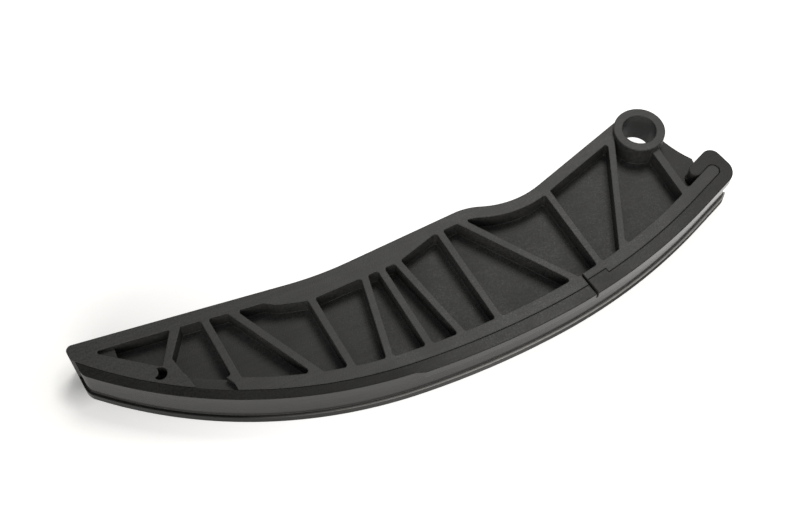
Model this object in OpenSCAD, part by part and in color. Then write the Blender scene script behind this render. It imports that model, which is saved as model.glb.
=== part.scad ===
// Timing chain guide: a ribbed pivoting carrier with a clip-on sliding shoe along its chain side.
// Frame: origin on the pivot axis at mid-width, +Z along the pivot bore, the toe towards -X.

/* [Running curve] */
// Distance from the pivot back to the deepest point of the running curve
belly_back = 90; // [84:0.5:96]
// Depth of the running curve's deepest point below the pivot
belly_drop = 55.8; // [53:0.1:58]
// Radius of the running curve's middle stretch
mid_r = 304; // [280:1:340]
// Radius of the running curve's toe stretch
toe_r = 166; // [160:0.5:172]
// Radius of the running curve's pivot stretch
pivot_r = 213; // [200:1:226]
// Slope of the curve where the toe stretch begins
toe_from = 4; // [3:0.25:5]
// Slope of the curve where the pivot stretch begins
pivot_from = 6; // [5:0.25:7]
// Slope of the curve at its toe end
toe_to = 42; // [40:0.25:43]
// Slope of the curve at its pivot end
pivot_to = 24; // [22:0.25:26]

/* [Sliding shoe] */
// Width of the guide across both flanges
guide_h = 16; // [14:0.25:20]
// Thickness of the shoe behind its running face
shoe_wall = 3.5; // [2.8:0.1:4.2]
// How far the flanges stand out from the running face
flange_out = 1; // [0.6:0.05:1.5]
// Thickness of each flange
flange_t = 3.6; // [2.6:0.1:4.6]
// Slope of the running curve where the upper flange begins
upper_from = -4; // [-12:0.5:4]
// Clearance between the shoe and the carrier
seat_gap = 0.15; // [0.1:0.01:0.3]
// Radius of the rounded corner at the toe
toe_corner_r = 6; // [5:0.25:8]
// Angle that the toe's end wall turns up from the running curve
toe_corner_turn = 41; // [36:1:46]

/* [Pivot hook] */
// Straight run of the shoe beyond the running curve
run_out = 14.4; // [13:0.2:16]
// Radius of the hook's lower corner
hook_corner_r = 6; // [5:0.25:6.5]
// Outward lean of the hook's end wall
hook_lean = 10.5; // [6:0.5:14]
// Radius of the hook's upper corner
hook_top_r = 3.5; // [2.5:0.25:4.5]
// Thickness of the hook's returning arm
hook_arm = 4.7; // [4:0.1:5.4]
// Thickness of the hook's end wall
hook_wall = 4.35; // [3.6:0.05:5]
// Length of the hook's arm over the carrier's finger
hook_reach = 8.6; // [6:0.2:10]
// Clearance between the finger and the hook's end wall
finger_gap = 0.35; // [0.2:0.05:0.6]
// Clearance between the web and the hook's arm
web_gap = 0.3; // [0.2:0.05:1.2]

/* [Keying tooth] */
// Slope of the running curve at the tooth's near side
tooth_at = 9.75; // [9:0.25:11]
// Length of the tooth along the curve
tooth_l = 8; // [6:0.5:10]
// How far the tooth reaches into the carrier's rim
tooth_in = 1.5; // [1:0.1:2]
// Depth of the tooth below the side face
tooth_t = 2.5; // [1.5:0.1:3]
// Width of the relief slot beside the tooth
tooth_slot = 0.9; // [0.6:0.1:1.4]

/* [Carrier] */
// Width of the rim behind the shoe
rim_w = 4.4; // [3.6:0.1:5]
// Width of the spine along the tensioner side
spine_w = 4.4; // [3.6:0.1:5]
// Width of the spine at the tensioner's pad
pad_w = 8.2; // [7:0.1:9.5]
// Thickness of the web
web_t = 3.2; // [2:0.1:4.5]
// Thickness of the ribs
rib_w = 2.5; // [2:0.1:3]
// Thickness of the rib under the boss
boss_rib_w = 3.1; // [2.5:0.1:3.6]
// Radius of the fillets at the ribs' ends
rib_fillet = 1.1; // [0.6:0.05:1.2]
// Radius of the concave edge between the boss and the hook
neck_r = 42.6; // [38:0.2:48]

/* [Toe] */
// Width of the tongue beside the toe slot
tongue_w = 3.8; // [3:0.1:4.4]
// Radius of the blind slot round the tongue's tip
slot_r = 2.3; // [2.1:0.05:2.6]
// Depth of the shallow end of the toe pocket
shallow_d = 1.8; // [1:0.1:4.5]
// Depth of the lowered rim beside the toe
ledge_d = 2.5; // [1.5:0.1:5]
// Corner radius of the toe's tip
tip_r = 2; // [0.8:0.1:2.5]

/* [Pivot boss] */
// Diameter of the pivot bore
bore_d = 12; // [10:0.25:13]
// Outer diameter of the boss
boss_d = 18.5; // [16.5:0.25:20]
// Length of the boss
boss_l = 13.5; // [11:0.25:15]
// How far the boss stands above the carrier's upper side
boss_up = 2; // [1:0.25:3]
// Chamfer at the bore's mouths and the boss's rim
boss_cut = 0.2; // [0.15:0.05:0.7]
// Clearance round the stand-off that meets the boss from below
boss_room = 0.6; // [0.3:0.1:1.2]

/* [Hidden] */

// Fineness of circles, of the running curve and of rounded corners
$fn = 96;
curve_steps = 60;
corner_steps = 12;
// Overrun of cutters past the faces that they cut
over = 1;

half_h = guide_h / 2;
shoe_back = shoe_wall + flange_out;
rim_out = shoe_back + seat_gap;
rim_in = rim_out + rim_w;
rim_mid = rim_out + rim_w / 2;
boss_r = boss_d / 2;
bore_r = bore_d / 2;

// Vectors and lines in the plan
function out(a) = [sin(a), -cos(a)];
function along(a) = [cos(a), sin(a)];
function unit(v) = v / norm(v);
function left(v) = [-v[1], v[0]];
function cross2(a, b) = a[0] * b[1] - a[1] * b[0];
function spin(v, a) = [v[0] * cos(a) - v[1] * sin(a), v[0] * sin(a) + v[1] * cos(a)];
function meet(p, d, q, e) = p + d * cross2(q - p, e) / cross2(d, e);
function backward(points) = [for (i = [len(points) - 1 : -1 : 0]) points[i]];

// Points of an arc between two directions
function arc(centre, r, a_from, a_to) =
    [for (i = [0 : corner_steps]) centre + r * out(a_from + (a_to - a_from) * i / corner_steps)];

// Points of the arc that rounds corner b between a and c
function fillet(a, b, c, r) =
    let (
        u = unit(b - a),
        w = unit(c - b),
        turn = atan2(cross2(u, w), u * w),
        start = b - r * tan(abs(turn) / 2) * u,
        centre = start + sign(turn) * r * left(u)
    )
    [for (i = [0 : corner_steps]) centre + spin(start - centre, turn * i / corner_steps)];

// A closed outline with every corner rounded
function rounded(points, r) =
    let (n = len(points))
    [for (i = [0 : n - 1]) each fillet(points[(i + n - 1) % n], points[i], points[(i + 1) % n], r)];

// Centres of the running curve's three tangent arcs
mid_c = [-belly_back, mid_r - belly_drop];
toe_c = mid_c + (mid_r - toe_r) * out(-toe_from);
pivot_c = mid_c + (mid_r - pivot_r) * out(pivot_from);

// A point of the running curve at slope a, moved inward by inset
function arc_centre(a) = a < -toe_from ? toe_c : a > pivot_from ? pivot_c : mid_c;
function arc_radius(a) = a < -toe_from ? toe_r : a > pivot_from ? pivot_r : mid_r;
function on_curve(a, inset) = arc_centre(a) + (arc_radius(a) - inset) * out(a);

// The whole running curve from toe to pivot, moved inward by inset
curve_step = (toe_to + pivot_to) / curve_steps;
function curve(inset) = [for (i = [0 : curve_steps]) on_curve(i * curve_step - toe_to, inset)];

// The point of the curve, moved inward by inset, that has the given x
function at_x(c, r, x) = [x, c[1] - sqrt(r * r - (x - c[0]) * (x - c[0]))];
function curve_at(x, inset) =
    x < on_curve(-toe_from, inset)[0] ? at_x(toe_c, toe_r - inset, x)
    : x > on_curve(pivot_from, inset)[0] ? at_x(pivot_c, pivot_r - inset, x)
    : at_x(mid_c, mid_r - inset, x);

// Local frames at the curve's two ends: X runs on past the end and Y runs inward
pivot_end = on_curve(pivot_to, 0);
toe_end = on_curve(-toe_to, 0);
function from_pivot_end(points) = [for (p = points) pivot_end + spin(p, pivot_to)];
function from_toe_end(points) = [for (p = points) toe_end + spin([-p[0], p[1]], -toe_to)];

// The toe's rounded corner and its end wall, moved inward by inset
toe_corner = [0, toe_corner_r];
function corner_line(inset) =
    from_toe_end(arc(toe_corner, toe_corner_r - inset, toe_corner_turn, 0));
wall_start = corner_line(0)[0];
wall_dir = spin([-1, 0], -toe_to - toe_corner_turn);
wall_in = left(-wall_dir);
wall_top = wall_start + 2 * toe_corner_r * wall_dir;

// Slope at which the curve, moved inward by inset, reaches the end wall
function wall_slope(inset) =
    let (
        q = wall_start - toe_c,
        r = toe_r - inset,
        s = -(q * wall_dir) - sqrt(pow(q * wall_dir, 2) - q * q + r * r),
        hit = q + s * wall_dir
    )
    atan2(hit[0], -hit[1]);
// The curve carried on from its toe end up to the end wall
function toe_curve(inset) =
    [for (i = [corner_steps : -1 : 1])
        on_curve(-toe_to + (wall_slope(inset) + toe_to) * i / corner_steps, inset)];

// The upper flange rises over this change of slope, from the curve's last point before its beginning
upper_rise = 1.6;
upper_step = floor((toe_to + upper_from) / curve_step);
upper_slope = upper_step * curve_step - toe_to;
// The lower flange ends at this step of the hook's lower corner
lower_end_step = 5;

// The hook, in the frame at the pivot end: lower corner, upper corner, arm and the finger inside it
finger_l = run_out + hook_corner_r * cos(hook_lean) - hook_wall;
hook_side = 90 - hook_lean;
hook_corner = [run_out, hook_corner_r];
arm_low = rim_in + seat_gap;
arm_high = arm_low + hook_arm;
hook_top_v = arm_high - hook_top_r;
hook_top = [
    run_out + (hook_corner_r - hook_top_r + (hook_top_v - hook_corner_r) * cos(hook_side)) / sin(hook_side),
    hook_top_v
];
slot_end = finger_l + finger_gap;
arm_tip = [slot_end - hook_reach + hook_arm / 2, (arm_low + arm_high) / 2];
// The round end of the slot in the hook, which follows the finger's own round end
rounded_slot = concat(
    fillet([0, arm_low], [slot_end, arm_low], [slot_end, shoe_back], rim_w / 2),
    fillet([slot_end, arm_low], [slot_end, shoe_back], [0, shoe_back], rim_w / 2)
);
function hook_corner_line(inset) = from_pivot_end(arc(hook_corner, hook_corner_r - inset, 0, hook_side));

// Corners and roundings of the spine's outer face: the low point by the pad, the hump and the dip
spine_low = [-127.8, -7.8];
spine_hump = [-70.6, -3.4];
spine_dip = [-54.6, -9.3];
spine_toe_slope = 6;
spine_radii = [0, 120, 23, 33, 0];
// Side of each rounding's centre: 1 above the spine, -1 below it
spine_sides = [0, 1, -1, 1, 0];
spine_tip = meet(spine_low, along(180 - spine_toe_slope), wall_start, wall_dir);
// The solid tip is this long before the spine begins, and the spine ends this far inside the boss
tip_l = 6;
boss_bite = 0.3;
boss_heading = atan2(-spine_dip[1], -spine_dip[0]) + asin((boss_r - boss_bite) / norm(spine_dip));

spine_corners = [
    spine_tip + tip_l * unit(spine_low - spine_tip), spine_low, spine_hump, spine_dip,
    (boss_r - boss_bite) * left(along(boss_heading))
];
function below(i) = -left(unit(spine_corners[i + 1] - spine_corners[i]));

// The spine's corner i moved below the outer face by depth
function sunk(i, depth) =
    i == 0 ? spine_corners[0] + depth * below(0)
    : i == 4 ? spine_corners[4] + depth * below(3)
    : spine_corners[i] + depth * (below(i - 1) + below(i)) / (1 + below(i - 1) * below(i));

// The spine's face at a depth, as rounded points from the toe to the boss
function spine_line(depth) = [
    sunk(0, depth),
    for (i = [1 : 3])
        each fillet(sunk(i - 1, depth), sunk(i, depth), sunk(i + 1, depth),
                    spine_radii[i] + spine_sides[i] * depth),
    sunk(4, depth)
];
// A point below the spine's outer face at x
function under_spine(x, depth) = [x, lookup(x, spine_corners) - depth];

// The tensioner's pad: where the spine thickens and thins again
pad_knee_share = 0.55;
pad_line = [
    under_spine(-148.5, spine_w), under_spine(-144.5, spine_w + pad_knee_share * (pad_w - spine_w)),
    under_spine(-134, pad_w), under_spine(-101, pad_w), under_spine(-85.5, spine_w)
];
pad_radii = [0, 12, 5, 5, 0];
// A point of the spine's inner face at x
function inner_spine(x) =
    x > pad_line[0][0] && x < pad_line[4][0] ? [x, lookup(x, pad_line)] : under_spine(x, spine_w);

// Ribs from the spine to the rim, each as the X of its upper and of its lower end
ribs = [
    [-168.8, -165.5], [-160.6, -139.6], [-133.9, -130.1], [-112.9, -118.2], [-108.1, -103.9],
    [-102.7, -92.1], [-83.4, -78.8], [-76.2, -47.7], [-42.1, -38.4], [-9.4, -29.6]
];
boss_rib = [1.4, 2.7];

// The fillets at the ribs' ends start this deep in the wall, so that they leave it at a clear angle
fillet_sink = 0.08;
// The arc from a rib's side, at p and heading d, to the wall that runs from a to b
function rib_corner(p, d, a, b) =
    let (e = unit(b - a), corner = meet(p, d, a, e))
    fillet(corner - d, corner, corner + e, rib_fillet);
// Arcs at a rib's foot and top on the side s: 1 towards the pivot, -1 towards the toe
function foot_arc(top, foot, w, s) =
    let (
        d = unit(foot - top),
        x = foot[0] + (curve_at(foot[0], rim_in)[1] - foot[1]) / d[1] * d[0] + s * w / 2
    )
    rib_corner(foot + s * left(d) * w / 2, d, curve_at(x, rim_in - fillet_sink),
               curve_at(x + 2 * s * rib_fillet, rim_in - fillet_sink));
function top_arc(top, foot, w, s) =
    let (
        d = unit(foot - top),
        near = top[0] + (inner_spine(top[0])[1] - top[1]) / d[1] * d[0],
        x = top[0] + (inner_spine(near)[1] - top[1]) / d[1] * d[0] + s * w / 2,
        sink = [0, fillet_sink]
    )
    rib_corner(top + s * left(d) * w / 2, -d, inner_spine(x) + sink, inner_spine(x + 2 * s * rib_fillet) + sink);

// The toe's solid block, its pocket and the slot round the tongue
block_top = -176.6;
block_waist = [-182.8, -17];
block_foot = -180.3;
pocket = rounded([[-206.4, -4.2], [-179.9, -6.4], [-186.6, -18.6]], 0.8);
pocket_step = -199;
slot_c = [-188, -20.5];
tongue_c = [-190.3, -19.3];
tongue_heading = 150;

// The lowered stretch of the rim, from just beside the block to just inside the first rib
ledge_step = 0.4;
ledge_bite = 0.3;
ledge_foot = curve_at(block_foot, rim_mid) + [ledge_step, 0];
ledge_waist = block_waist + [ledge_step, 0];
ledge_rib = rib_w / 2 - ledge_bite;
ledge = [
    ledge_foot + rim_w * unit(ledge_foot - ledge_waist), ledge_waist,
    under_spine(ribs[0][0] - ledge_rib, spine_w), curve_at(ribs[0][1] - ledge_rib, 0)
];

// Centre of the concave edge between the boss and the hook
neck_c = [50, 10];

// The shoe's keying tooth, as slopes of the running curve
function arc_angle(length) = length / pivot_r * 180 / PI;
tooth_end = tooth_at + arc_angle(tooth_l);
slot_start = tooth_at - arc_angle(tooth_slot);
slot_mid = (slot_start + tooth_at) / 2;

// A four-sided patch between two slopes and two insets of the curve
module patch(a_from, a_to, inset_from, inset_to) {
    polygon([
        on_curve(a_from, inset_from), on_curve(a_to, inset_from),
        on_curve(a_to, inset_to), on_curve(a_from, inset_to)
    ]);
}

module full_height() {
    translate([0, 0, -half_h]) linear_extrude(guide_h) children();
}
// A layer of the given depth at the upper side face or at both, carried past the face by extra
module upper_side(depth, extra) {
    translate([0, 0, half_h - depth]) linear_extrude(depth + extra) children();
}
module both_sides(depth, extra) {
    for (side = [0, 1])
        mirror([0, 0, side]) upper_side(depth, extra) children();
}

// The shoe in plan: the band along the curve, thinned up the toe's end wall and hooked at the pivot
module shoe_plan() {
    polygon(concat(
        corner_line(0),
        curve(0),
        hook_corner_line(0),
        from_pivot_end(concat(
            arc(hook_top, hook_top_r, hook_side, 180),
            arc(arm_tip, hook_arm / 2, 180, 360),
            rounded_slot
        )),
        backward(curve(shoe_back)),
        backward(toe_curve(shoe_back))
    ));
}

// The chain's channel in plan, from the toe's end wall to the hook
module channel_plan() {
    polygon(concat(
        [wall_top + flange_out * wall_in],
        corner_line(flange_out), curve(flange_out), hook_corner_line(flange_out),
        backward(hook_corner_line(-over)), backward(curve(-over)), backward(corner_line(-over)),
        [wall_top - over * wall_in]
    ));
}

// The stretch from the toe's end wall on that has no upper flange, in plan
module no_flange_plan() {
    polygon(concat(
        [wall_top + flange_out * wall_in],
        corner_line(flange_out), [for (i = [0 : upper_step]) curve(flange_out)[i]],
        [on_curve(upper_slope + upper_rise, -over)], [for (i = [upper_step : -1 : 0]) curve(-over)[i]],
        backward(corner_line(-over)), [wall_top - over * wall_in]
    ));
}

// The stretch of the hook's corner that has no lower flange, in plan
module flange_end_plan() {
    stretch = [lower_end_step : corner_steps];
    polygon(concat(
        [for (i = stretch) hook_corner_line(flange_out)[i]],
        backward([for (i = stretch) hook_corner_line(-over)[i]])
    ));
}

module sliding_shoe() {
    color([0.2, 0.19, 0.19])
        difference() {
            union() {
                full_height() shoe_plan();
                upper_side(tooth_t, 0) patch(slot_mid, tooth_end, flange_out, rim_out + tooth_in);
            }
            translate([0, 0, flange_t - half_h]) linear_extrude(guide_h - 2 * flange_t) channel_plan();
            linear_extrude(half_h + over) no_flange_plan();
            mirror([0, 0, 1]) linear_extrude(half_h + over) flange_end_plan();
            upper_side(tooth_t, over) patch(slot_start, tooth_at, -over, rim_in);
        }
}

// The carrier's web, whose edges are buried in the walls round it
module web() {
    bare_x = neck_c[0] - neck_r + boss_r;
    translate([0, 0, -web_t / 2])
        linear_extrude(web_t)
            difference() {
                polygon(concat(
                    spine_line(spine_w / 2),
                    [[0, 0], [bare_x, 0]],
                    from_pivot_end([[slot_end, arm_high + web_gap + over], [finger_l - rim_w / 2, rim_mid]]),
                    backward(curve(rim_mid))
                ));
                translate(neck_c) circle(neck_r);
                // Room for the hook's arm
                polygon(from_pivot_end(concat(
                    [[slot_end + over, rim_mid], [slot_end + over, arm_high + web_gap]],
                    arc(arm_tip, hook_arm / 2 + web_gap, 180, 360)
                )));
            }
}

// The spine along the tensioner side, with the pad
module spine() {
    full_height() polygon(concat(spine_line(0), backward(spine_line(spine_w))));
    full_height() polygon(concat(
        [pad_line[4] + [0, spine_w / 2], pad_line[0] + [0, spine_w / 2], pad_line[0]],
        [for (i = [1 : 3]) each fillet(pad_line[i - 1], pad_line[i], pad_line[i + 1], pad_radii[i])],
        [pad_line[4]]
    ));
}

// The chain-side rim, which ends in the finger that the hook wraps
module rim() {
    finger_c = [finger_l - rim_w / 2, rim_mid];
    difference() {
        full_height() polygon(concat(
            curve(rim_out), from_pivot_end(arc(finger_c, rim_w / 2, 0, 180)), backward(curve(rim_in))
        ));
        // Seat of the shoe's tooth, and the slot beside it
        upper_side(tooth_t + seat_gap, over) {
            patch(slot_mid, tooth_end + arc_angle(seat_gap), flange_out, rim_out + tooth_in + seat_gap);
            patch(slot_start, tooth_at, flange_out, rim_in + over);
        }
        // Lowered stretch between the toe's block and the first rib
        both_sides(ledge_d, over) polygon(ledge);
    }
}

// A rib from the spine to the rim, flared where it meets them, and the rib from the boss to the rim
module rib(top, foot, w) {
    side = left(unit(foot - top)) * w / 2;
    full_height() polygon(concat(
        [top + side], backward(top_arc(top, foot, w, 1)), foot_arc(top, foot, w, 1), [foot + side],
        [foot - side], backward(foot_arc(top, foot, w, -1)), top_arc(top, foot, w, -1), [top - side]
    ));
}
module rib_of_boss(foot) {
    top = [boss_rib[0], 0];
    side = left(unit(foot - top)) * boss_rib_w / 2;
    full_height() polygon(concat(
        [top + side], foot_arc(top, foot, boss_rib_w, 1), [foot + side],
        [foot - side], backward(foot_arc(top, foot, boss_rib_w, -1)), [top - side]
    ));
}

// The solid toe with its wedge-shaped pocket
module toe_block() {
    difference() {
        full_height() polygon(concat(
            fillet(wall_start, spine_tip, spine_low, tip_r),
            [sunk(0, 0), sunk(0, spine_w / 2)],
            [under_spine(block_top, spine_w / 2), under_spine(block_top, spine_w), block_waist],
            [curve_at(block_foot, rim_mid), on_curve(curve_step - toe_to, rim_mid), on_curve(-toe_to, rim_out)],
            backward(toe_curve(rim_out))
        ));
        both_sides(shallow_d, over) polygon(pocket);
        both_sides((guide_h - web_t) / 2, over)
            intersection() {
                polygon(pocket);
                translate([pocket_step, 2 * block_waist[1]])
                    square([block_top - pocket_step, -2 * block_waist[1]]);
            }
    }
}

// The blind slot round the tongue's round end
module toe_slot() {
    both_sides((guide_h - web_t) / 2, over)
        difference() {
            translate(slot_c) circle(slot_r);
            translate(tongue_c) {
                circle(tongue_w / 2);
                rotate(tongue_heading) translate([0, -tongue_w / 2]) square([2 * slot_r, tongue_w]);
            }
        }
}

// The pivot boss, and the bore with the room for a stand-off below the boss
module boss() {
    translate([0, 0, half_h + boss_up - boss_l])
        rotate_extrude()
            polygon([
                [0, -over], [boss_r, -over], [boss_r, boss_l - boss_cut], [boss_r - boss_cut, boss_l], [0, boss_l]
            ]);
}
module pivot_bore() {
    mouth_r = bore_r + boss_cut;
    room_r = boss_r + boss_room;
    translate([0, 0, half_h + boss_up - boss_l])
        rotate_extrude()
            polygon([
                [0, -guide_h], [room_r, -guide_h], [room_r, 0], [mouth_r, 0], [bore_r, boss_cut],
                [bore_r, boss_l - boss_cut], [mouth_r, boss_l], [mouth_r, boss_l + over], [0, boss_l + over]
            ]);
}

module carrier() {
    color([0.25, 0.25, 0.24])
        difference() {
            union() {
                web();
                spine();
                rim();
                toe_block();
                for (r = ribs)
                    rib(under_spine(r[0], spine_w / 2), curve_at(r[1], rim_mid), rib_w);
                rib_of_boss(curve_at(boss_rib[1], rim_mid));
                boss();
            }
            pivot_bore();
            toe_slot();
        }
}

carrier();
sliding_shoe();
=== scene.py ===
"""Looks of the timing chain guide: black moulded plastic on a white studio floor."""
import math
from types import SimpleNamespace

import bpy
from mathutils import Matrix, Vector


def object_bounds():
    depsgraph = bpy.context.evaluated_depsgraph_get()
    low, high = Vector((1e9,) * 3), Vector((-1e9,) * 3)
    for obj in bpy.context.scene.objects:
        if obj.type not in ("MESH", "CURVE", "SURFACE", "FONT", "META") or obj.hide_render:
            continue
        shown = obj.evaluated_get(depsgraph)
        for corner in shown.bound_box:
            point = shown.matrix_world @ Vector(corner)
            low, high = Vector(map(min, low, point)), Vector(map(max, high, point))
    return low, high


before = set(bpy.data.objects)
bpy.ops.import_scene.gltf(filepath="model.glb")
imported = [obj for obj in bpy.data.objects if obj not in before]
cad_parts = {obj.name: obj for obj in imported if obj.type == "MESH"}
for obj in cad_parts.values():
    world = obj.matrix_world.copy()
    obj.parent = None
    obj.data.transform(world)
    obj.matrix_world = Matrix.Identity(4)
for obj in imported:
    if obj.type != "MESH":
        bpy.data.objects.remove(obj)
cad_bounds = [list(corner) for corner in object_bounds()]

METRE = 1.0
MM = 0.001 * METRE
GUIDE_LOW = cad_bounds[0][2]


def grey(level, warm=0.0):
    """A grey with a little more red than blue."""
    return (level * (1.0 + warm), level, level * (1.0 - warm), 1.0)


# Edges of the mouldings, where a crowded piece's small facets hold its radius back
EDGE_RADIUS = {"carrier": 0.28 * MM, "sliding_shoe": 0.13 * MM}
CROWDED = ("carrier",)
EDGE_SEGMENTS = 2
WELD_DISTANCE = 0.06 * MM
SHARP = math.radians(25.0)
COPLANAR = math.radians(0.3)

# Noises over the plastic: scale per metre, detail and roughness
CLOUD = (60.0, 4.0, 0.55)
SPECK = (1500.0, 2.0, 0.55)
FINE = (2600.0, 2.0, 0.6)
FLOW = (900.0, 3.0, 0.55)
WAVE = (120.0, 2.0, 0.55)
RUB = (300.0, 3.0, 0.55)
STREAK = (90.0, 3.0, 0.55)
FLOW_STRETCH = (0.06, 1.0, 1.0)
STREAK_STRETCH = (1.0, 1.0, 40.0)

# The part of a noise that counts, for soft and for crisp patches
SOFT = (0.3, 0.7)
CRISP = (0.35, 0.65)

# What the noises add to the colour mix and to the roughness
CLOUD_SHARE = (0.0, 0.3)
SPECK_SHARE = (-0.12, 0.57)
FLOW_SHARE = (0.0, 0.25)
CLOUD_ROUGH = 0.05
SPECK_ROUGH = 0.08
STREAK_ROUGH = 0.03

# Wear where an edge's rounded normal leaves the true one, by the cosine between them
WEAR_RADIUS = 0.5 * MM
WEAR_SAMPLES = 6
WEAR_COSINE = (0.985, 0.8)
WEAR_PATCHES = (0.35, 1.0)

# Relief of the surface in the shading
GRAIN_DEPTH = 0.05 * MM
WAVE_DEPTH = 0.4 * MM
WAVE_STRENGTH = 0.08
PLASTIC_IOR = 1.5

CARRIER = {
    "dark": grey(0.012, 0.02), "light": grey(0.042, 0.02), "edge": grey(0.06, 0.02),
    "rough": 0.50, "level": 0.45, "grain": 1.0,
}
SHOE = {
    "dark": grey(0.005, 0.03), "light": grey(0.019, 0.03), "edge": grey(0.04, 0.03),
    "rough": 0.40, "level": 0.2, "grain": 0.8,
}

# The carrier's pockets: where the side faces give way to them, and how much duller they are
POCKET_Z = (6.5 * MM, 7.5 * MM)
POCKET_ROUGH = 0.05
POCKET_LEVEL = 0.9

# Painted light: the shoe's side faces are painted paler towards the pivot, and darker at the toe as painted
# shade, with weaker reflections there
PAINTED_LIGHT_X = (-116.0 * MM, -100.0 * MM)
PAINTED_LIGHT = (grey(0.012, 0.02), grey(0.030, 0.02))
TOE_SHADE_LEVEL = 0.65

# The shoe's upright faces: the running face above the lower flange's root, and the flange below it
UPRIGHT_TILT = (0.3, 0.7)
FLANGE_T = 3.6 * MM
ROOT_Z = GUIDE_LOW + FLANGE_T
ROOT_BLUR = 0.05 * MM
# Painted reflection: the running face is painted paler than the body, standing in for part of its reflection
# of the floor; its streaks are real tone
FACE = (grey(0.037, 0.03), grey(0.051, 0.03))
FACE_ROUGH = 0.22
FACE_LEVEL = 0.5
FACE_GRAIN = 0.2
# Painted shade: the flange runs from the body's darkest grey at the toe to this grey, over the span below
FLANGE = grey(0.025, 0.03)
FLANGE_SHADE_X = (-170.0 * MM, -125.0 * MM)
DULL_X = (-90.0 * MM, -20.0 * MM)
FLANGE_LEVELS = (0.25, 0.08)
FLANGE_ROUGH = 0.5
DRAFT = 0.08

# Painted highlight on the lower flange's lip, found by how open it lies
PAINTED_LIP_HIGHLIGHT = grey(0.5, 0.03)
LIP_X = (-170.0 * MM, -70.0 * MM)
LIP_BELOW = (-0.4 * MM, -0.2 * MM)
LIP_ABOVE = (0.05 * MM, 0.1 * MM)
LIP_OPEN = (0.7, 0.95)
LIP_REACH = 0.8 * MM
LIP_SAMPLES = 8

# Camera as found from the photo
CAMERA_PLACE = (-0.186556, -0.207560, 0.377020)
CAMERA_TILT = math.radians(29.663)
CAMERA_TURN = math.radians(-24.0)
CAMERA_LENS = 56.44
CAMERA_SENSOR = 36.0
CAMERA_NEAR = 0.01
IMAGE_RIGHT = (math.cos(CAMERA_TURN), math.sin(CAMERA_TURN), 0.0)

# Studio floor
FLOOR_SIZE = 6.0
FLOOR_PATCHES = (9.0, 3.0, 0.55)
FLOOR_TONE = (0.885, 0.9)
FLOOR_TINT = (1.0, 0.985, 0.975, 1.0)
# Painted reflection: the floor glows for reflections only, paler towards the picture's right
SHEEN_SPAN = (-0.2, 0.1)
SHEEN_CURVE = ((0.5, 0.105), (0.75, 0.37))
SHEEN_GAIN = 2.6
# Painted shadow: the camera sees it greyer at the foot of the toe's end wall and white far away: distances
# and lifts
TOE_FOOT = (-0.214, -0.005, 0.0)
FLOOR_LIFTS = (((0.001, 0.010), 0.33), ((0.010, 0.08), 0.35), ((0.3, 1.2), 0.30))

# Surroundings and lights
WORLD_LIGHT = 0.30
WORLD_SEEN = 1.0
LIGHT_TINT = (1.0, 0.99, 0.94)
MIDDLE = (-0.095, -0.02, 0.0)
SOFTBOXES = {
    "key": {"place": (0.23, 0.35, 0.87), "size": (0.35, 0.35), "watts": 3.6},
    "front": {"place": (-0.46, -0.84, 0.35), "size": (1.2, 0.5), "watts": 6.0},
}


def soften(obj, radius):
    """Rounds the sharp moulded edges without touching the CAD mesh itself."""
    weld = obj.modifiers.new("weld", "WELD")
    weld.merge_threshold = WELD_DISTANCE
    flat = obj.modifiers.new("flat", "DECIMATE")
    flat.decimate_type = "DISSOLVE"
    flat.angle_limit = COPLANAR
    edge = obj.modifiers.new("edge", "BEVEL")
    edge.width = radius
    edge.segments = EDGE_SEGMENTS
    edge.limit_method = "ANGLE"
    edge.angle_limit = SHARP
    edge.use_clamp_overlap = obj.name in CROWDED
    normals = obj.modifiers.new("normals", "WEIGHTED_NORMAL")
    normals.keep_sharp = True


class Graph:
    """A small helper that adds shader nodes to a new material and links them."""

    def __init__(self, name):
        self.material = bpy.data.materials.new(name)
        self.material.use_nodes = True
        self.tree = self.material.node_tree
        self.tree.nodes.clear()

    def plug(self, socket, value):
        if isinstance(value, bpy.types.NodeSocket):
            self.tree.links.new(value, socket)
        else:
            socket.default_value = value

    def add(self, kind, inputs=None, **settings):
        node = self.tree.nodes.new(kind)
        for key, value in settings.items():
            setattr(node, key, value)
        for key, value in (inputs or {}).items():
            self.plug(node.inputs[key], value)
        return node

    def noise(self, coords, scale, detail, roughness):
        node = self.add("ShaderNodeTexNoise", {
            "Vector": coords, "Scale": scale, "Detail": detail, "Roughness": roughness})
        return node.outputs["Fac"]

    def stretch(self, coords, scale):
        return self.add("ShaderNodeMapping", {"Vector": coords, "Scale": scale}).outputs["Vector"]

    def remap(self, value, low, high, to_low=0.0, to_high=1.0):
        node = self.add("ShaderNodeMapRange", {
            "Value": value, "From Min": low, "From Max": high, "To Min": to_low, "To Max": to_high})
        return node.outputs["Result"]

    def math(self, operation, a, b=0.0):
        return self.add("ShaderNodeMath", {0: a, 1: b}, operation=operation).outputs["Value"]

    def vector(self, operation, a, b):
        return self.add("ShaderNodeVectorMath", {0: a, 1: b}, operation=operation).outputs["Value"]

    def blend(self, factor, a, b):
        return self.add("ShaderNodeMix", {"Factor": factor, "A": a, "B": b}).outputs["Result"]

    def mix(self, factor, a, b):
        node = self.add("ShaderNodeMix", {"Factor": factor}, data_type="RGBA")
        colours = {socket.name: socket for socket in node.inputs if socket.type == "RGBA"}
        self.plug(colours["A"], a)
        self.plug(colours["B"], b)
        return next(socket for socket in node.outputs if socket.type == "RGBA")

    def bump(self, height, distance, normal, strength=1.0):
        node = self.add("ShaderNodeBump", {
            "Strength": strength, "Distance": distance, "Height": height, "Normal": normal})
        return node.outputs["Normal"]

    def finish(self, shader):
        self.add("ShaderNodeOutputMaterial", {"Surface": shader})
        return self.material


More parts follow.
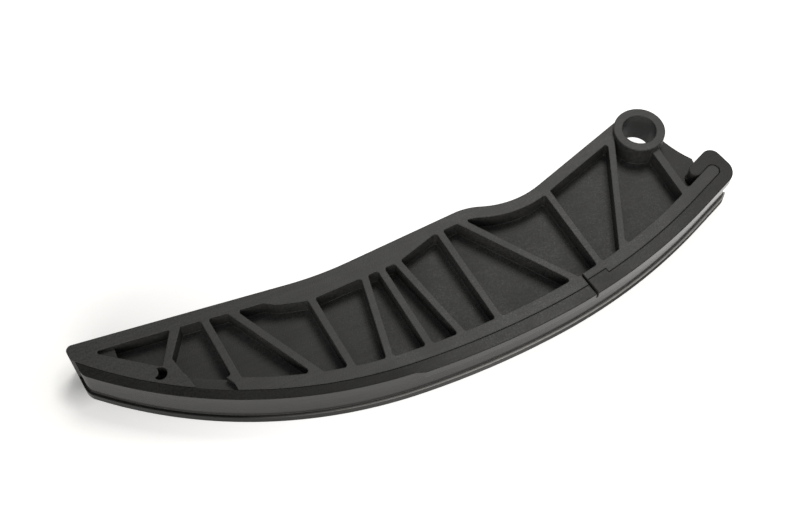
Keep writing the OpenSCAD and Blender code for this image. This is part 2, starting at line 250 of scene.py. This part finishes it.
def moulded_surface(g):
    """The coordinates, normals and noises that a plastic is made from."""
    coords = g.add("ShaderNodeTexCoord").outputs["Object"]
    bevel = g.add("ShaderNodeBevel", {"Radius": WEAR_RADIUS}, samples=WEAR_SAMPLES)
    return SimpleNamespace(
        coords=coords,
        place=g.add("ShaderNodeSeparateXYZ", {0: coords}).outputs,
        true_normal=g.add("ShaderNodeNewGeometry").outputs["Normal"],
        round_normal=bevel.outputs["Normal"],
        cloud=g.noise(coords, *CLOUD),
        speck=g.noise(coords, *SPECK),
        flow=g.noise(g.stretch(coords, FLOW_STRETCH), *FLOW))


def edge_wear(g, surface):
    """How far the moulded edges are rubbed, in patches."""
    cosine = g.vector("DOT_PRODUCT", surface.round_normal, surface.true_normal)
    patches = g.remap(g.noise(surface.coords, *RUB), *CRISP, *WEAR_PATCHES)
    return g.math("MULTIPLY", g.remap(cosine, *WEAR_COSINE), patches)


def moulded_look(g, surface, finish):
    """Mottled colour, uneven gloss and worn edges, before what one piece alone has."""
    mottle = g.remap(surface.cloud, *SOFT, *CLOUD_SHARE)
    mottle = g.math("ADD", mottle, g.remap(surface.speck, *CRISP, *SPECK_SHARE))
    mottle = g.math("ADD", mottle, g.remap(surface.flow, *CRISP, *FLOW_SHARE))
    rough = finish["rough"]
    cloud_rough = g.remap(surface.cloud, *SOFT, rough - CLOUD_ROUGH, rough + CLOUD_ROUGH)
    return SimpleNamespace(
        mottle=mottle,
        body=g.mix(mottle, finish["dark"], finish["light"]),
        gloss=g.math("ADD", cloud_rough, g.remap(surface.speck, *SOFT, -SPECK_ROUGH, SPECK_ROUGH)),
        level=finish["level"],
        grain=finish["grain"],
        worn=edge_wear(g, surface),
        normal=surface.round_normal)


def plastic(name, finish, changes):
    """Black moulded plastic, with the changes that this piece alone has."""
    g = Graph(name)
    surface = moulded_surface(g)
    look = moulded_look(g, surface, finish)
    for change in changes:
        change(g, surface, look)
    grainy = g.bump(g.noise(surface.coords, *FINE), GRAIN_DEPTH, look.normal, look.grain)
    wavy = g.bump(g.noise(surface.coords, *WAVE), WAVE_DEPTH, grainy, WAVE_STRENGTH)
    shader = g.add("ShaderNodeBsdfPrincipled", {
        "Base Color": g.mix(look.worn, look.body, finish["edge"]), "Roughness": look.gloss,
        "Normal": wavy, "Specular IOR Level": look.level, "IOR": PLASTIC_IOR})
    return g.finish(shader.outputs["BSDF"])


def dull_pockets(g, surface, look):
    """The carrier's pockets are duller than its side faces."""
    deep = g.remap(g.math("ABSOLUTE", surface.place["Z"]), *POCKET_Z, 1.0, 0.0)
    look.gloss = g.math("ADD", look.gloss, g.math("MULTIPLY", deep, POCKET_ROUGH))
    look.level = g.remap(deep, 0.0, 1.0, look.level, POCKET_LEVEL * look.level)


def paint_light_towards_pivot(g, surface, look):
    """Painted light: the shoe's side faces are painted paler towards the pivot, with painted shade at the
    toe.
    """
    paler = g.remap(surface.place["X"], *PAINTED_LIGHT_X)
    look.body = g.mix(paler, look.body, g.mix(look.mottle, *PAINTED_LIGHT))
    look.level = g.remap(paler, 0.0, 1.0, TOE_SHADE_LEVEL * look.level, look.level)


def polish_track_and_paint_light(g, surface, look):
    """The chain polishes the running face and the flange, which is dull at the pivot; the running face is
    painted paler as painted reflection, and the flange is painted dark at the toe as painted shade.
    """
    tilt = g.add("ShaderNodeSeparateXYZ", {0: surface.true_normal}).outputs["Z"]
    upright = g.remap(g.math("ABSOLUTE", tilt), *UPRIGHT_TILT, 1.0, 0.0)
    on_face = g.remap(surface.place["Z"], ROOT_Z - ROOT_BLUR, ROOT_Z)
    streak = g.noise(g.stretch(surface.coords, STREAK_STRETCH), *STREAK)
    along = surface.place["X"]
    # Painted shade on the flange at the toe, and the running face painted paler as painted reflection
    flange = g.mix(g.remap(along, *FLANGE_SHADE_X), SHOE["dark"], FLANGE)
    face = g.mix(g.remap(streak, *SOFT), *FACE)
    look.body = g.mix(upright, look.body, g.mix(on_face, flange, face))
    polished = g.remap(streak, *SOFT, FACE_ROUGH - STREAK_ROUGH, FACE_ROUGH + STREAK_ROUGH)
    dull = g.math("MULTIPLY", g.math("SUBTRACT", 1.0, on_face), g.remap(along, *DULL_X, 0.0, FLANGE_ROUGH))
    look.gloss = g.blend(upright, look.gloss, g.math("ADD", polished, dull))
    flange_level = g.remap(along, *DULL_X, *FLANGE_LEVELS)
    look.level = g.blend(upright, look.level, g.remap(on_face, 0.0, 1.0, flange_level, FACE_LEVEL))
    look.grain = g.remap(upright, 0.0, 1.0, look.grain, FACE_GRAIN * look.grain)
    look.worn = g.math("MULTIPLY", look.worn, g.math("SUBTRACT", 1.0, upright))


def paint_lip_highlight(g, surface, look):
    """Painted highlight: the lower flange's lip is painted bright."""
    occlusion = g.add(
        "ShaderNodeAmbientOcclusion", {"Distance": LIP_REACH}, samples=LIP_SAMPLES, only_local=True)
    from_root = g.math("SUBTRACT", surface.place["Z"], ROOT_Z)
    lip = g.remap(occlusion.outputs["AO"], *LIP_OPEN)
    lip = g.math("MULTIPLY", lip, g.remap(from_root, *LIP_BELOW))
    lip = g.math("MULTIPLY", lip, g.remap(from_root, *LIP_ABOVE, 1.0, 0.0))
    lip = g.math("MULTIPLY", lip, g.remap(surface.place["X"], *LIP_X))
    # Painted highlight along the lip
    look.body = g.mix(lip, look.body, PAINTED_LIP_HIGHLIGHT)


def lean_back(g, surface, look):
    """Mould draft: the upright faces lean back a little above the flange's root."""
    rise = g.math("MAXIMUM", g.math("SUBTRACT", surface.place["Z"], ROOT_Z))
    look.normal = g.bump(g.math("MULTIPLY", rise, -DRAFT), METRE, look.normal)


def dress(node, slot, finish, changes):
    """Gives a CAD node its rounded edges and its plastic."""
    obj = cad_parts[node]
    soften(obj, EDGE_RADIUS[node])
    obj.data.materials.clear()
    obj.data.materials.append(plastic(slot, finish, changes))


def painted_floor_reflection(g, coords):
    """Painted reflection: the glow that reflections alone see on the floor, beyond its own light."""
    rightward = g.remap(g.vector("DOT_PRODUCT", coords, IMAGE_RIGHT), *SHEEN_SPAN)
    curve = g.add("ShaderNodeFloatCurve", {"Value": rightward})
    for point in SHEEN_CURVE:
        curve.mapping.curves[0].points.new(*point)
    curve.mapping.update()
    return g.math("MULTIPLY", curve.outputs["Value"], SHEEN_GAIN)


def floor_lift(g, coords):
    """What the camera sees of the floor beyond its own light, held back near the toe's foot as painted
    shadow.
    """
    distance = g.vector("DISTANCE", coords, TOE_FOOT)
    lift = 0.0
    for span, gain in FLOOR_LIFTS:
        lift = g.math("ADD", lift, g.remap(distance, *span, 0.0, gain))
    return lift


def white_paint():
    """The floor's matt white, which keeps the object's shadow, with a painted shadow at the toe's foot and a
    painted reflection glow.
    """
    g = Graph("studio_floor")
    coords = g.add("ShaderNodeTexCoord").outputs["Object"]
    tone = g.remap(g.noise(coords, *FLOOR_PATCHES), *SOFT, *FLOOR_TONE)
    paint = g.add("ShaderNodeCombineColor", {"Red": tone, "Green": tone, "Blue": tone}).outputs["Color"]
    diffuse = g.add("ShaderNodeBsdfDiffuse", {"Color": paint}).outputs["BSDF"]
    path = g.add("ShaderNodeLightPath").outputs
    # The camera's glow is less at the toe's foot, which paints a shadow there
    to_camera = g.math("MULTIPLY", path["Is Camera Ray"], floor_lift(g, coords))
    # Painted reflection: a glow that only reflections see
    to_gloss = g.math("MULTIPLY", path["Is Glossy Ray"], painted_floor_reflection(g, coords))
    glow = g.add("ShaderNodeEmission", {"Color": FLOOR_TINT, "Strength": g.math("ADD", to_camera, to_gloss)})
    return g.finish(g.add("ShaderNodeAddShader", {0: diffuse, 1: glow.outputs["Emission"]}).outputs["Shader"])


def studio_floor():
    """A pale floor under the guide."""
    bpy.ops.mesh.primitive_plane_add(size=FLOOR_SIZE, location=(0.0, 0.0, GUIDE_LOW))
    floor = bpy.context.object
    floor.name = "studio_floor"
    floor.data.materials.append(white_paint())
    return floor


def studio_world():
    """Soft white surroundings, which the camera sees as plain white."""
    world = bpy.data.worlds.new("studio")
    world.use_nodes = True
    nodes, links = world.node_tree.nodes, world.node_tree.links
    nodes["Background"].inputs["Color"].default_value = grey(1.0)
    strength = nodes.new("ShaderNodeMapRange")
    strength.inputs["To Min"].default_value = WORLD_LIGHT
    strength.inputs["To Max"].default_value = WORLD_SEEN
    links.new(nodes.new("ShaderNodeLightPath").outputs["Is Camera Ray"], strength.inputs["Value"])
    links.new(strength.outputs["Result"], nodes["Background"].inputs["Strength"])
    bpy.context.scene.world = world


def place_in_scene(name, data, place):
    """Puts a new light or camera in the scene."""
    obj = bpy.data.objects.new(name, data)
    bpy.context.scene.collection.objects.link(obj)
    obj.location = place
    return obj


def softbox(name, place, size, watts):
    """A rectangular light that faces the middle of the guide."""
    light = bpy.data.lights.new(name, "AREA")
    light.shape = "RECTANGLE"
    light.size, light.size_y = size
    light.energy = watts
    light.color = LIGHT_TINT
    aim = Vector(MIDDLE) - Vector(place)
    place_in_scene(name, light, place).rotation_euler = aim.to_track_quat("-Z", "Y").to_euler()


def photo_camera():
    """The camera of the photo."""
    data = bpy.data.cameras.new("camera")
    data.sensor_width = CAMERA_SENSOR
    data.lens = CAMERA_LENS
    data.clip_start = CAMERA_NEAR
    camera = place_in_scene("camera", data, CAMERA_PLACE)
    camera.rotation_euler = (CAMERA_TILT, 0.0, CAMERA_TURN)
    return camera


dress("carrier", "carrier_plastic", CARRIER, [dull_pockets])
# The shoe is given painted light: paler side faces towards the pivot, a painted reflection on its running
# face, painted shade on its flange at the toe and a painted highlight on its lip
dress("sliding_shoe", "shoe_plastic", SHOE, [paint_light_towards_pivot, polish_track_and_paint_light, paint_lip_highlight, lean_back])

floor = studio_floor()
studio_world()
for name, box in SOFTBOXES.items():
    softbox(name, **box)
bpy.context.scene.camera = photo_camera()
bpy.context.scene.view_settings.view_transform = "Standard"
